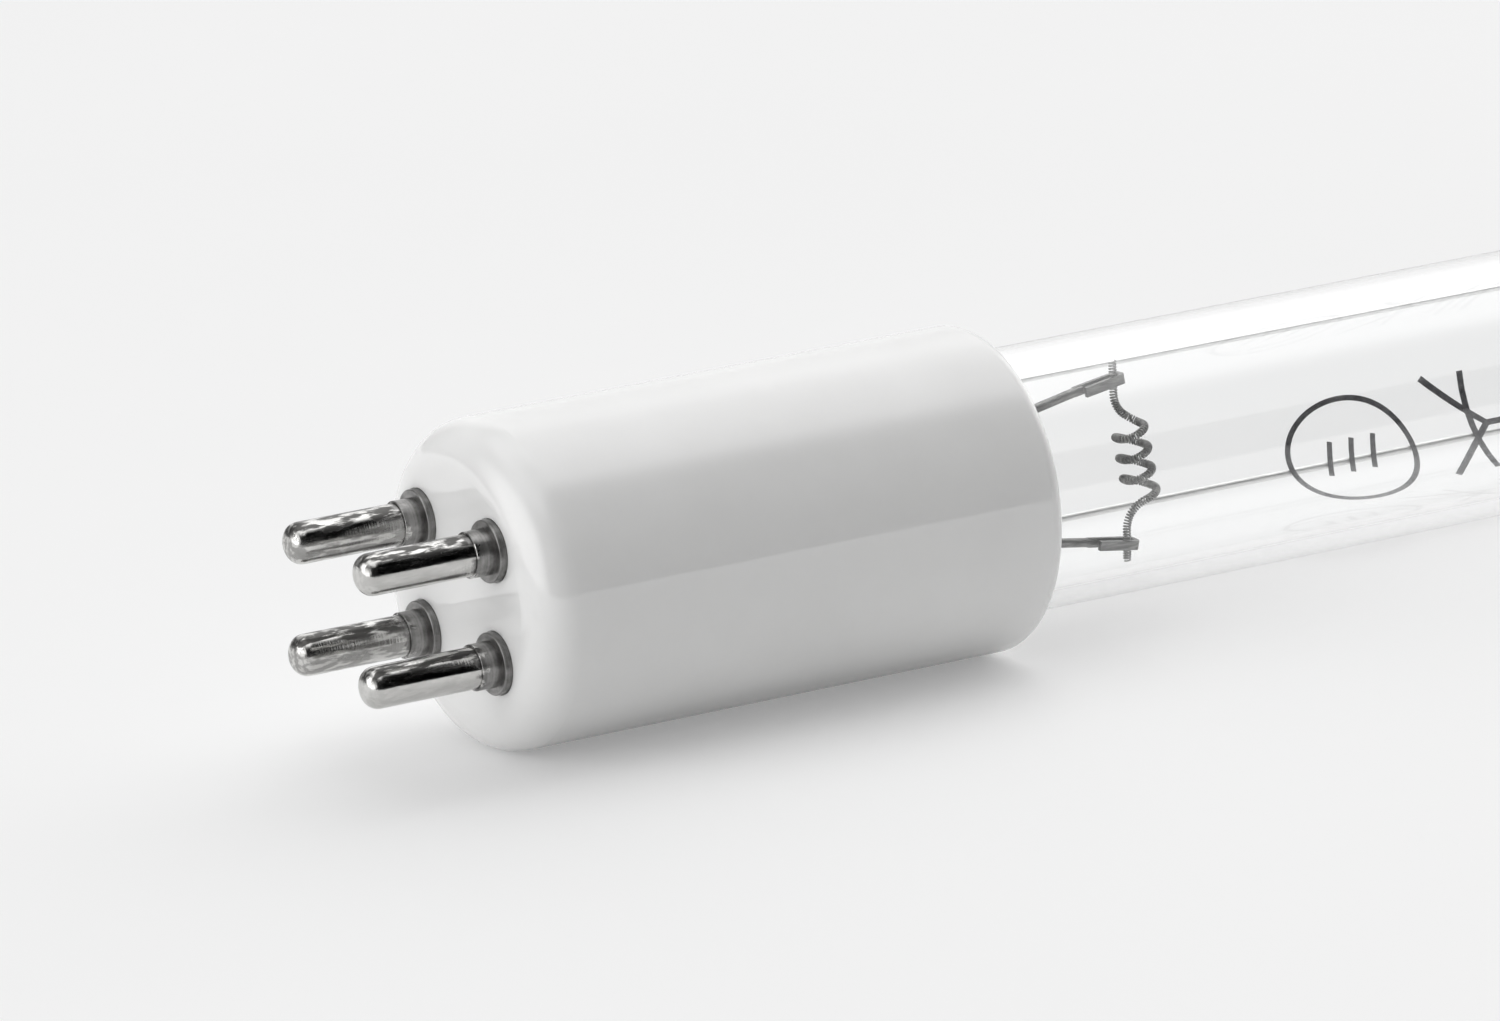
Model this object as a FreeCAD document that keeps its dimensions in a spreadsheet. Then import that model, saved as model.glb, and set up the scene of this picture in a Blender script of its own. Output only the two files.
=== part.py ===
import FreeCAD, Part
import math
import os
import re

import Sketcher

# Ultraviolet germicidal lamp with four pins at one end. X runs along the lamp, with the face that
# carries the pins at X = 0 and the far end at overall_length. Z is up and -Y is the near side.
# Everything is in millimetres.

Vector = FreeCAD.Vector
Placement = FreeCAD.Placement
Rotation = FreeCAD.Rotation

doc = FreeCAD.newDocument("germicidal_lamp")

# Driving sizes

SIZES = [
    ("overall_length", 212.0),  # face of the base to the outer end of the cap
    ("fit", 0.02),  # play round a wire or pin in its hole
    # quartz tube
    ("tube_od", 15.0),
    ("tube_wall", 1.0),
    ("glass_start", 12.0),  # from the face of the base to the glass
    ("glass_end_gap", 8.5),  # from the outer end of the cap to the glass
    ("press_length", 10.0),  # flat part of a press seal
    ("press_thickness", 3.4),
    ("press_side", 1.0),  # how far each edge of the flat stands in from the full tube
    ("press_taper", 6.0),  # from the flat to the full round tube
    # ceramic base and cap
    ("base_length", 33.5),
    ("cement_gap", 0.65),  # between the glass and the ceramic round it
    ("ceramic_wall", 1.15),
    ("base_floor", 4.0),
    ("face_round", 2.4),
    ("mouth_round", 0.9),
    ("cap_length", 30.0),
    ("cap_floor", 2.5),
    ("cap_round", 1.6),
    ("cement_length", 4.5),
    ("cement_inset", 0.5),  # how far the cement stands back from the mouth
    # contact pins
    ("pin_pitch_y", 7.92),
    ("pin_pitch_z", 6.35),
    ("pin_d", 2.35),
    ("pin_length", 8.3),
    ("pin_tip_round", 0.85),
    ("flange_d", 3.5),
    ("flange_thickness", 0.42),
    ("collar_d", 2.6),
    ("collar_thickness", 1.15),
    ("collar_round", 0.07),
    ("seat_depth", 0.15),  # recess in the ceramic under each flange
    ("seat_fit", 0.05),
    ("shank_d", 2.0),
    ("shank_length", 5.5),
    ("pin_bore_depth", 3.2),
    # wires and foils
    ("lead_d", 0.55),
    ("lead_bend", 0.8),
    ("wire_d", 0.5),  # the two return wires outside the tube
    ("wire_gap", 0.05),
    ("wire_bend", 1.5),
    ("upper_wire_angle", 52.5),  # round from straight up, away from the near side
    ("lower_wire_angle", 131.0),
    ("foil_length", 7.0),
    ("foil_width", 3.0),
    ("foil_thickness", 0.1),
    ("foil_inset", 2.0),  # from the end of the glass to the foil
    ("foil_spread", 5.0),  # between the middles of the two foils
    ("weld_lap", 1.5),
    ("weld_flat", 0.08),
    ("sleeve_d", 1.7),
    ("sleeve_length", 5.0),
    ("sleeve_start", 2.0),
    # filament and the hooks that hold it
    ("filament_x", 30.7),  # from the end of the glass to the filament's tails
    ("filament_d", 0.5),
    ("coil_r", 0.86),
    ("coil_pitch", 1.25),
    ("coil_turns", 3.0),
    ("coil_forward", 0.95),
    ("coil_lean", 0.17),
    ("coil_top", 1.8),
    ("upper_tail_x", 0.22),
    ("lower_tail_x", -0.25),
    ("upper_tail_gap", 1.07),  # from the height of the glass's hollow to the end of the tail
    ("lower_tail_gap", 0.6),
    ("upper_tail_free", 1.06),  # from the middle of the hook to the end of the tail
    ("lower_tail_free", 1.12),
    ("tail_below", 0.82),  # from the middle of the hook to where the strand turns away
    ("upper_bend_x", 18.8),
    ("lower_bend_x", 16.2),
    ("hook_thickness", 0.26),
    ("hook_fit", 0.06),
    ("hook_height", 0.56),
    ("hook_long", 2.45),
    ("hook_short", 2.1),
    ("hook_round", 0.25),
    # mercury
    ("mercury_d", 1.7),
    ("mercury_height", 1.3),
    ("mercury_x", 150.0),
]

sheet = doc.addObject("Spreadsheet::Sheet", "Sizes")
for row, (alias, number) in enumerate(SIZES, 1):
    sheet.set("A%d" % row, alias)
    sheet.set("B%d" % row, str(number))
    sheet.setAlias("B%d" % row, alias)
doc.recompute()
NAMES = {alias for alias, number in SIZES}


def size(alias):
    """A number read back from the sheet."""
    return float(sheet.get(alias))


def formula(text):
    """A formula in which each name of a size points at its cell in the sheet."""
    return re.sub(
        r"[a-z][a-z0-9_]*",
        lambda found: "Sizes." + found.group() if found.group() in NAMES else found.group(),
        text,
    )


def bind(thing, path, text):
    thing.setExpression(path, formula(text))


# Radii and heights that follow from the tube

CERAMIC_R = "(tube_od / 2 + cement_gap + ceramic_wall)"
CERAMIC_BORE_R = "(tube_od / 2 + cement_gap)"


# Sketches


def new_sketch(body, plane, name, x="0", y="0", z="0", turn=None, about=Vector(1, 0, 0)):
    """A sketch on one of the body's own origin planes, moved in its axes and turned about its x or y."""
    sketch = body.newObject("Sketcher::SketchObject", name)
    sketch.AttachmentSupport = [(f, "") for f in body.Origin.OriginFeatures if f.Role == plane + "_Plane"]
    sketch.MapMode = "FlatFace"
    if turn:
        sketch.AttachmentOffset = Placement(Vector(0, 0, 0), Rotation(about, 10))
        bind(sketch, "AttachmentOffset.Rotation.Angle", turn)
    for axis, text in (("x", x), ("y", y), ("z", z)):
        if text != "0":
            bind(sketch, "AttachmentOffset.Base." + axis, text)
    return sketch


def locate(sketch, geometry, corner, x, y):
    """Holds one point of the sketch at (x, y), each a formula."""
    for kind, text, axis in (("DistanceX", x, -2), ("DistanceY", y, -1)):
        if text == "0":
            sketch.addConstraint(Sketcher.Constraint("PointOnObject", geometry, corner, axis))
        else:
            number = sketch.addConstraint(Sketcher.Constraint(kind, -1, 1, geometry, corner, 1.0))
            bind(sketch, "Constraints[%d]" % number, text)


def add_circle(sketch, radius, x="0", y="0"):
    geometry = sketch.addGeometry(Part.Circle(Vector(1, 1, 0), Vector(0, 0, 1), 1.0))
    locate(sketch, geometry, 3, x, y)
    number = sketch.addConstraint(Sketcher.Constraint("Radius", geometry, 1.0))
    bind(sketch, "Constraints[%d]" % number, radius)


def add_points(sketch, corners):
    """Construction points at the corners, and where the sheet's sizes put them."""
    points = []
    for count, (x, y) in enumerate(corners):
        points.append(sketch.addGeometry(Part.Point(Vector(1 + count, 1 + count % 2, 0)), True))
        locate(sketch, points[-1], 1, x, y)
    doc.recompute()
    return points, [Vector(sketch.Geometry[p].X, sketch.Geometry[p].Y, 0) for p in points]


def join(sketch, kind, *ends):
    sketch.addConstraint(Sketcher.Constraint(kind, *ends))


def add_polygon(sketch, corners):
    """A closed outline with straight sides through the corners."""
    points, places = add_points(sketch, corners)
    last = len(corners) - 1
    for i in range(len(corners)):
        j = i + 1 if i < last else 0
        side = sketch.addGeometry(Part.LineSegment(places[i], places[j]))
        join(sketch, "Coincident", side, 1, points[i], 1)
        join(sketch, "Coincident", side, 2, points[j], 1)


def add_bent_path(sketch, corners, bend):
    """An open path through the corners, with an arc of radius bend, a formula, at each one between."""
    points, places = add_points(sketch, corners)
    radius = size(bend)
    runs = []
    arcs = []
    start = places[0]
    for i in range(1, len(places) - 1):
        back = (places[i - 1] - places[i]).normalize()
        ahead = (places[i + 1] - places[i]).normalize()
        half = back.getAngle(ahead) / 2
        reach = radius / math.tan(half)
        enter = places[i] + back * reach
        leave = places[i] + ahead * reach
        middle = places[i] + (back + ahead).normalize() * (radius / math.sin(half) - radius)
        runs.append(sketch.addGeometry(Part.LineSegment(start, enter)))
        arcs.append((sketch.addGeometry(Part.Arc(enter, middle, leave)), enter))
        start = leave
    runs.append(sketch.addGeometry(Part.LineSegment(start, places[-1])))
    join(sketch, "Coincident", runs[0], 1, points[0], 1)
    join(sketch, "Coincident", runs[-1], 2, points[-1], 1)
    for i, (arc, enter) in enumerate(arcs):
        first_is_enter = sketch.getPoint(arc, 1).distanceToPoint(enter) < 1e-6
        near, far = (1, 2) if first_is_enter else (2, 1)
        join(sketch, "Tangent", runs[i], 2, arc, near)
        join(sketch, "Tangent", arc, far, runs[i + 1], 1)
        join(sketch, "PointOnObject", points[i + 1], 1, runs[i])
        join(sketch, "PointOnObject", points[i + 1], 1, runs[i + 1])
        number = sketch.addConstraint(Sketcher.Constraint("Radius", arc, radius))
        bind(sketch, "Constraints[%d]" % number, bend)


# Features


def new_body(label):
    body = doc.addObject("PartDesign::Body", label)
    body.Label = label
    return body


def add_pad(body, sketch, length, symmetric=False):
    pad = body.newObject("PartDesign::Pad", "Pad")
    pad.Profile = sketch
    pad.SideType = "Symmetric" if symmetric else "One side"
    bind(pad, "Length", length)
    doc.recompute()
    return pad


def add_pocket(body, sketch, length=None, symmetric=False):
    """Cuts the sketch along its normal, or through everything on both sides, and makes sure it cut."""
    before = body.Shape.Volume
    pocket = body.newObject("PartDesign::Pocket", "Pocket")
    pocket.Profile = sketch
    pocket.Reversed = not symmetric
    pocket.SideType = "Symmetric" if symmetric else "One side"
    pocket.Type = "Length" if length else "ThroughAll"
    if length:
        bind(pocket, "Length", length)
    doc.recompute()
    if not body.Shape.Volume < before - 1e-6:
        raise RuntimeError(body.Label + ": a pocket cuts nothing")
    return pocket


def add_fillet(body, base, radius, wanted):
    """Rounds the circular edges for which wanted(x, radius) is true."""
    names = []
    for i, edge in enumerate(base.Shape.Edges, 1):
        if isinstance(edge.Curve, Part.Circle) and wanted(edge.Curve.Center.x, edge.Curve.Radius):
            names.append("Edge%d" % i)
    if not names:
        raise RuntimeError(body.Label + ": no edge to round")
    fillet = body.newObject("PartDesign::Fillet", "Fillet")
    fillet.Base = (base, names)
    bind(fillet, "Radius", radius)
    doc.recompute()
    return fillet


def add_revolution(body, sketch):
    turned = body.newObject("PartDesign::Revolution", "Revolution")
    turned.Profile = sketch
    turned.ReferenceAxis = [f for f in body.Origin.OriginFeatures if f.Role == "X_Axis"][0], [""]
    turned.Angle = 360.0
    doc.recompute()
    return turned


def add_pipe(body, profile, spine):
    pipe = body.newObject("PartDesign::AdditivePipe", "Pipe")
    pipe.Profile = profile
    pipe.Spine = (spine, [])
    doc.recompute()
    return pipe


def near(a, b):
    return abs(a - b) < 1e-4


def boolean(kind, label, base, tools):
    """A Cut or a Fuse of whole objects."""
    made = doc.addObject("Part::" + kind, label)
    made.Label = label
    if kind == "Cut":
        made.Base = base
        if len(tools) > 1:
            group = doc.addObject("Part::MultiFuse", label + "_tools")
            group.Shapes = tools
            made.Tool = group
        else:
            made.Tool = tools[0]
    else:
        made.Base = base
        made.Tool = tools[0]
    doc.recompute()
    return made


def put(thing, end):
    """Puts a piece drawn from the end of the glass inwards at the base end or, turned round, at the cap end."""
    if end == "base":
        bind(thing, "Placement.Base.x", "glass_start")
    else:
        thing.Placement = Placement(Vector(0, 0, 0), Rotation(Vector(0, 0, 1), 180))
        bind(thing, "Placement.Base.x", "overall_length - glass_end_gap")


def add_wire(label, first, second, stations, diameter, bend):
    """A round wire that runs along X and shifts sideways between two lines parallel to X.

    first and second are the (y, z) of the two lines, and each station is (x, 0 or 1 for the line).
    """
    body = new_body(label)
    across = "((%s) - (%s))" % (second[0], first[0])
    up = "((%s) - (%s))" % (second[1], first[1])
    shift = "sqrt(%s ^ 2 + %s ^ 2)" % (across, up)
    turn = "atan2(-%s; %s)" % (across, up)
    spine = new_sketch(body, "XZ", "Path", y=first[1], z="-(%s)" % first[0], turn=turn)
    add_bent_path(spine, [(x, shift if line else "0") for x, line in stations], bend)
    line = second if stations[0][1] else first
    profile = new_sketch(body, "YZ", "Section", z=stations[0][0])
    add_circle(profile, diameter + " / 2", line[0], line[1])
    add_pipe(body, profile, spine)
    return body


# Ceramic base


def pin_place(side_y, side_z):
    return "%spin_pitch_y / 2" % side_y, "%spin_pitch_z / 2" % side_z


PINS = [
    ("front_upper_contact_pin", "-", "", "lead_d"),
    ("front_lower_contact_pin", "-", "-", "lead_d"),
    ("rear_upper_contact_pin", "", "", "wire_d"),
    ("rear_lower_contact_pin", "", "-", "wire_d"),
]

ceramic_base = new_body("ceramic_base")
outline = new_sketch(ceramic_base, "YZ", "Outline")
add_circle(outline, CERAMIC_R)
barrel = add_pad(ceramic_base, outline, "base_length")
face_edge = add_fillet(ceramic_base, barrel, "face_round", lambda x, r: near(x, 0))
mouth = size("base_length")
add_fillet(ceramic_base, face_edge, "mouth_round", lambda x, r: near(x, mouth))
bore = new_sketch(ceramic_base, "YZ", "Bore", z="base_floor")
add_circle(bore, CERAMIC_BORE_R)
add_pocket(ceramic_base, bore, "base_length - base_floor")
holes = new_sketch(ceramic_base, "YZ", "PinHoles")
seats = new_sketch(ceramic_base, "YZ", "FlangeSeats")
for label, side_y, side_z, bore_size in PINS:
    y, z = pin_place(side_y, side_z)
    add_circle(holes, "shank_d / 2 + fit", y, z)
    add_circle(seats, "flange_d / 2 + seat_fit", y, z)
add_pocket(ceramic_base, holes, "base_floor")
add_pocket(ceramic_base, seats, "seat_depth")

# Contact pins, turned, each with a flange and a collar in front of the face and a blind bore behind

pins = []
for label, side_y, side_z, bore_size in PINS:
    pin = new_body(label)
    half = new_sketch(pin, "XY", "HalfSection")
    shoulder = "-(flange_thickness + collar_thickness)"
    add_polygon(
        half,
        [
            ("-pin_length", "0"),
            ("-pin_length", "pin_d / 2"),
            (shoulder, "pin_d / 2"),
            (shoulder, "collar_d / 2"),
            ("-flange_thickness", "collar_d / 2"),
            ("-flange_thickness", "flange_d / 2"),
            ("seat_depth", "flange_d / 2"),
            ("seat_depth", "shank_d / 2"),
            ("shank_length", "shank_d / 2"),
            ("shank_length", "%s / 2 + fit" % bore_size),
            ("shank_length - pin_bore_depth", "%s / 2 + fit" % bore_size),
            ("shank_length - pin_bore_depth", "0"),
        ],
    )
    turned = add_revolution(pin, half)
    tip = -size("pin_length")
    rounded = add_fillet(pin, turned, "pin_tip_round", lambda x, r: near(x, tip))
    step = -size("flange_thickness")
    front = step - size("collar_thickness")
    collar_r = size("collar_d") / 2
    flange_r = size("flange_d") / 2
    add_fillet(
        pin,
        rounded,
        "collar_round",
        lambda x, r: (near(x, front) and near(r, collar_r)) or (near(x, step) and near(r, flange_r)),
    )
    y, z = pin_place(side_y, side_z)
    bind(pin, "Placement.Base.y", y)
    bind(pin, "Placement.Base.z", z)
    pins.append(pin)

# Closed ceramic cap at the far end

end_cap = new_body("end_cap")
outline = new_sketch(end_cap, "YZ", "Outline", z="overall_length - cap_length")
add_circle(outline, CERAMIC_R)
barrel = add_pad(end_cap, outline, "cap_length")
outer_end = size("overall_length")
cap_mouth = outer_end - size("cap_length")
end_edge = add_fillet(end_cap, barrel, "cap_round", lambda x, r: near(x, outer_end))
add_fillet(end_cap, end_edge, "mouth_round", lambda x, r: near(x, cap_mouth))
bore = new_sketch(end_cap, "YZ", "Bore", z="overall_length - cap_length")
add_circle(bore, CERAMIC_BORE_R)
add_pocket(end_cap, bore, "cap_length - cap_floor")

# The same inner parts at both ends of the glass: foils, leads, filament

UPPER, LOWER = "", "-"
FOIL_FACE = "(foil_thickness / 2 + lead_d / 2 - weld_flat)"
inner_leads = []
outer_leads = []
foils = []
filaments = []
sleeves = []


def add_foil(label, end, side):
    body = new_body(label)
    half = new_sketch(body, "XZ", "Strip")
    middle = "%sfoil_spread / 2" % side
    low = "%s - foil_width / 2" % middle
    high = "%s + foil_width / 2" % middle
    near_x = "foil_inset"
    far_x = "foil_inset + foil_length"
    add_polygon(half, [(near_x, low), (far_x, low), (far_x, high), (near_x, high)])
    add_pad(body, half, "foil_thickness", symmetric=True)
    put(body, end)
    return body


def lead_lines(side):
    """Formulas for one lead: where its foil line, its bend, its hook and its filament tail are."""
    part = "upper" if side == UPPER else "lower"
    foil_z = "%sfoil_spread / 2" % side
    hook_z = "%s(tube_od / 2 - tube_wall - %s_tail_gap - %s_tail_free)" % (side, part, part)
    bend_x = "%s_bend_x" % part
    tail_x = "(filament_x + %s_tail_x)" % part
    return foil_z, hook_z, bend_x, tail_x


def add_hook(label, side):
    """The end of a lead, pressed flat, in line with the lead and folded round the filament's tail."""
    foil_z, hook_z, bend_x, tail_x = lead_lines(side)
    body = new_body(label)
    lean = "-atan2(%s - %s; %s - %s)" % (hook_z, foil_z, tail_x, bend_x)
    plan = new_sketch(body, "XY", "Fold", x=tail_x, z=hook_z, turn=lean, about=Vector(0, 1, 0))
    middle = "%scoil_r" % side
    inner_near = "%s - filament_d / 2" % middle
    outer_near = "%s - hook_thickness" % inner_near
    inner_far = "%s + filament_d / 2" % middle
    outer_far = "%s + hook_thickness" % inner_far
    inside = "filament_d / 2 + hook_fit"
    outside = "%s + hook_thickness" % inside
    add_polygon(
        plan,
        [
            ("-hook_short", outer_near),
            (outside, outer_near),
            (outside, outer_far),
            ("-hook_long", outer_far),
            ("-hook_long", inner_far),
            (inside, inner_far),
            (inside, inner_near),
            ("-hook_short", inner_near),
        ],
    )
    fold = add_pad(body, plan, "hook_height", symmetric=True)
    to_plan = plan.Placement.inverse()
    turn_x = size("filament_d") / 2 + size("hook_fit") + size("hook_thickness")
    names = []
    for i, edge in enumerate(fold.Shape.Edges, 1):
        ends = [to_plan.multVec(v.Point) for v in edge.Vertexes]
        upright = near(ends[0].x, ends[1].x) and near(ends[0].y, ends[1].y)
        if upright and near(ends[0].x, turn_x):
            names.append("Edge%d" % i)
    fillet = body.newObject("PartDesign::Fillet", "Fillet")
    fillet.Base = (fold, names)
    bind(fillet, "Radius", "hook_round")
    doc.recompute()
    return body


def add_inner_lead(label, end, side, foil):
    """From the foil, out of the glass and on a slant to the hook on one tail of the filament."""
    foil_z, hook_z, bend_x, tail_x = lead_lines(side)
    last_x = "(%s - hook_long + hook_height)" % tail_x
    share = "(%s - %s) / (%s - %s)" % (last_x, bend_x, tail_x, bend_x)
    last_z = "(%s + (%s - %s) * %s)" % (foil_z, hook_z, foil_z, share)
    first = ("%s%s" % (side, FOIL_FACE), foil_z)
    second = ("%scoil_r + filament_d / 2 + hook_thickness / 2" % side, last_z)
    wire = add_wire(
        label + "_wire",
        first,
        second,
        [("foil_inset + foil_length - weld_lap", 0), (bend_x, 0), (last_x, 1)],
        "lead_d",
        "lead_bend",
    )
    hook = add_hook(label + "_hook", side)
    put(wire, end)
    put(hook, end)
    whole = boolean("Fuse", label + "_whole", wire, [hook])
    return boolean("Cut", label, whole, [foil])


def add_outer_lead(label, end, side, foil):
    """From the foil, out through the end of the glass, to a front pin or to a splice sleeve."""
    first = ("-%s" % FOIL_FACE, "%sfoil_spread / 2" % side)
    second = ("-pin_pitch_y / 2", "%spin_pitch_z / 2" % side)
    on_foil = ("foil_inset + weld_lap", 0)
    if end == "base":
        pin_mouth = "shank_length - glass_start"
        stations = [
            on_foil,
            ("-1.4", 0),
            ("%s + 1.4" % pin_mouth, 1),
            ("%s - pin_bore_depth + 0.3" % pin_mouth, 1),
        ]
    else:
        stations = [
            on_foil,
            ("-2.6", 0),
            ("-2.6", 1),
            ("sleeve_start + sleeve_length / 2 - 0.2", 1),
        ]
    wire = add_wire(label + "_wire", first, second, stations, "lead_d", "lead_bend")
    put(wire, end)
    return boolean("Cut", label, wire, [foil])


def arc_from(start, tangent, finish):
    """The arc that leaves start along tangent and ends at finish."""
    chord = finish - start
    along = Vector(chord).normalize()
    side = (tangent - along * tangent.dot(along)).normalize()
    rise = chord.Length / 2 * math.tan(tangent.getAngle(chord) / 2)
    return Part.Arc(start, (start + finish) / 2 + side * rise, finish)


def double_arc(start, leaving, finish, arriving):
    """Two arcs that meet smoothly and go from one point and direction to another."""
    reach = finish - start
    total = leaving + arriving
    a = 2 * (leaving.dot(arriving) - 1)
    b = -2 * reach.dot(total)
    c = reach.dot(reach)
    d = (-b - math.sqrt(b * b - 4 * a * c)) / (2 * a)
    first = start + leaving * d
    last = finish - arriving * d
    joint = (first + last) / 2
    onward = (last - first).normalize()
    return [arc_from(start, leaving, joint), arc_from(joint, onward, finish)]


def filament_route():
    """The strand's middle line, drawn from the end of the glass: tail, bend, half turns, bend, tail."""
    x0 = size("filament_x")
    r = size("coil_r")
    half_pitch = size("coil_pitch") / 2
    axis_x = x0 + size("coil_forward")
    lean = size("coil_lean")
    down = Vector(0, 0, -1)
    nearer = Vector(0, -1, 0)
    farther = Vector(0, 1, 0)
    upper_x = x0 + size("upper_tail_x")
    lower_x = x0 + size("lower_tail_x")
    clear = size("tail_below")
    hollow_r = size("tube_od") / 2 - size("tube_wall")
    top = hollow_r - size("upper_tail_gap")
    bottom = size("lower_tail_gap") - hollow_r
    tail_top = Vector(upper_x, r, top)
    tail_bend = Vector(upper_x, r, top - size("upper_tail_free") - clear)
    z = size("coil_top")
    here = Vector(axis_x - lean * z + r, 0, z)
    route = [Part.LineSegment(tail_top, tail_bend)]
    route += double_arc(tail_bend, down, here, nearer)
    for i in range(int(round(2 * size("coil_turns")))):
        z -= half_pitch
        out = -r if i % 2 == 0 else r
        there = Vector(axis_x - lean * z + out, 0, z)
        bulge = (nearer if i % 2 == 0 else farther) * ((there - here).Length / 2)
        route.append(Part.Arc(here, (here + there) / 2 + bulge, there))
        here = there
    tail_bend = Vector(lower_x, -r, bottom + size("lower_tail_free") + clear)
    route += double_arc(here, nearer, tail_bend, down)
    route.append(Part.LineSegment(tail_bend, Vector(lower_x, -r, bottom)))
    return Part.Wire([curve.toShape() for curve in route])


def add_filament(label, end):
    """The route turns three ways, so it is a plain wire, which a circle bound to the sheet follows."""
    path = doc.addObject("Part::Feature", label + "_path")
    path.Shape = filament_route()
    put(path, end)
    section = doc.addObject("Part::Circle", label + "_section")
    bind(section, "Radius", "filament_d / 2")
    if end == "base":
        bind(section, "Placement.Base.x", "glass_start + filament_x + upper_tail_x")
        bind(section, "Placement.Base.y", "coil_r")
    else:
        bind(
            section,
            "Placement.Base.x",
            "overall_length - glass_end_gap - filament_x - upper_tail_x",
        )
        bind(section, "Placement.Base.y", "-coil_r")
    bind(section, "Placement.Base.z", "tube_od / 2 - tube_wall - upper_tail_gap")
    strand = doc.addObject("Part::Sweep", label)
    strand.Label = label
    strand.Sections = [section]
    strand.Spine = (path, ["Edge%d" % (i + 1) for i in range(len(path.Shape.Edges))])
    strand.Solid = True
    strand.Frenet = False
    doc.recompute()
    return strand


for end in ("base", "cap"):
    for part, side in (("upper", UPPER), ("lower", LOWER)):
        foil = add_foil("%s_end_%s_molybdenum_foil" % (end, part), end, side)
        foils.append(foil)
        inner_leads.append(add_inner_lead("%s_end_%s_inner_lead" % (end, part), end, side, foil))
        outer_leads.append(add_outer_lead("%s_end_%s_outer_lead" % (end, part), end, side, foil))
    filaments.append(add_filament("%s_end_filament" % end, end))

# Quartz tube, pressed flat on its leads at both ends


def press_cuts(sketch, half, full, ahead, taper):
    """Outlines outside the pressed glass, above and below, at both ends of the tube."""
    first = "glass_start"
    last = "overall_length - glass_end_gap"
    for side in ("", "-"):
        inner = "%s(%s)" % (side, half)
        outer = "%s(%s)" % (side, full)
        for origin, way in ((first, "+"), (last, "-")):
            back = "-" if way == "+" else "+"
            add_polygon(
                sketch,
                [
                    ("%s %s 1" % (origin, back), inner),
                    ("%s %s %s" % (origin, way, ahead), inner),
                    ("%s %s %s %s %s" % (origin, way, ahead, way, taper), outer),
                    ("%s %s 1" % (origin, back), outer),
                ],
            )


glass = new_body("quartz_tube_outside")
outline = new_sketch(glass, "YZ", "Outline", z="glass_start")
add_circle(outline, "tube_od / 2")
add_pad(glass, outline, "overall_length - glass_end_gap - glass_start")
flats = new_sketch(glass, "XY", "PressFlats")
press_cuts(flats, "press_thickness / 2", "tube_od / 2 + 0.01", "press_length", "press_taper")
add_pocket(glass, flats, symmetric=True)
edges = new_sketch(glass, "XZ", "PressEdges")
press_cuts(edges, "tube_od / 2 - press_side", "tube_od / 2 + 0.01", "press_length", "press_taper / 2")
add_pocket(glass, edges, symmetric=True)

hollow = new_body("quartz_tube_hollow")
outline = new_sketch(hollow, "YZ", "Outline", z="glass_start + press_length + 2")
add_circle(outline, "tube_od / 2 - tube_wall")
add_pad(hollow, outline, "overall_length - glass_end_gap - glass_start - 2 * press_length - 4")
wedge = new_sketch(hollow, "XY", "PressWedge")
press_cuts(
    wedge,
    "lead_d / 2 + fit",
    "tube_od / 2 - tube_wall + 0.01",
    "press_length + 2",
    "(press_taper - 0.8)",
)
add_pocket(hollow, wedge, symmetric=True)
quartz_tube = boolean("Cut", "quartz_tube", glass, [hollow] + foils + inner_leads + outer_leads)

# Return wires from the rear pins along the outside of the tube to the splices in the cap

WIRE_R = "(tube_od / 2 + wire_d / 2 + wire_gap)"
return_wires = []
for part, side in (("upper", ""), ("lower", "-")):
    angle = "%s_wire_angle" % part
    on_tube = ("%s * sin(%s * 1 deg)" % (WIRE_R, angle), "%s * cos(%s * 1 deg)" % (WIRE_R, angle))
    in_pin = ("pin_pitch_y / 2", "%spin_pitch_z / 2" % side)
    sleeve_x = "(overall_length - glass_end_gap - sleeve_start - sleeve_length / 2)"
    return_wires.append(
        add_wire(
            "%s_return_wire" % part,
            in_pin,
            on_tube,
            [
                ("shank_length - pin_bore_depth + 0.3", 0),
                ("shank_length + 1.4", 0),
                ("glass_start - 0.5", 1),
                ("overall_length - glass_end_gap - press_length - press_taper + 2.4", 1),
                ("overall_length - glass_end_gap - sleeve_start - sleeve_length - 1.8", 0),
                ("%s - 0.2" % sleeve_x, 0),
            ],
            "wire_d",
            "wire_bend",
        )
    )
    sleeve = new_body("%s_splice_sleeve" % part)
    barrel_sketch = new_sketch(sleeve, "YZ", "Barrel")
    add_circle(barrel_sketch, "sleeve_d / 2")
    add_pad(sleeve, barrel_sketch, "sleeve_length")
    wire_end = new_sketch(sleeve, "YZ", "WireEnd")
    add_circle(wire_end, "wire_d / 2 + fit")
    add_pocket(sleeve, wire_end, "sleeve_length / 2")
    lead_end = new_sketch(sleeve, "YZ", "LeadEnd", z="sleeve_length / 2")
    add_circle(lead_end, "lead_d / 2 + fit")
    add_pocket(sleeve, lead_end, "sleeve_length / 2")
    bind(sleeve, "Placement.Base.x", "%s - sleeve_length / 2" % sleeve_x)
    bind(sleeve, "Placement.Base.y", in_pin[0])
    bind(sleeve, "Placement.Base.z", in_pin[1])
    sleeves.append(sleeve)


# Cement between the glass and the ceramics


def add_cement(label, start):
    ring = new_body(label + "_ring")
    annulus = new_sketch(ring, "YZ", "Ring", z=start)
    add_circle(annulus, CERAMIC_BORE_R)
    add_circle(annulus, "tube_od / 2")
    add_pad(ring, annulus, "cement_length")
    return boolean("Cut", label, ring, return_wires)


base_cement = add_cement("base_cement", "base_length - cement_inset - cement_length")
cap_cement = add_cement("cap_cement", "overall_length - cap_length + cement_inset")

# Drop of mercury lying on the bottom of the tube

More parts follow.
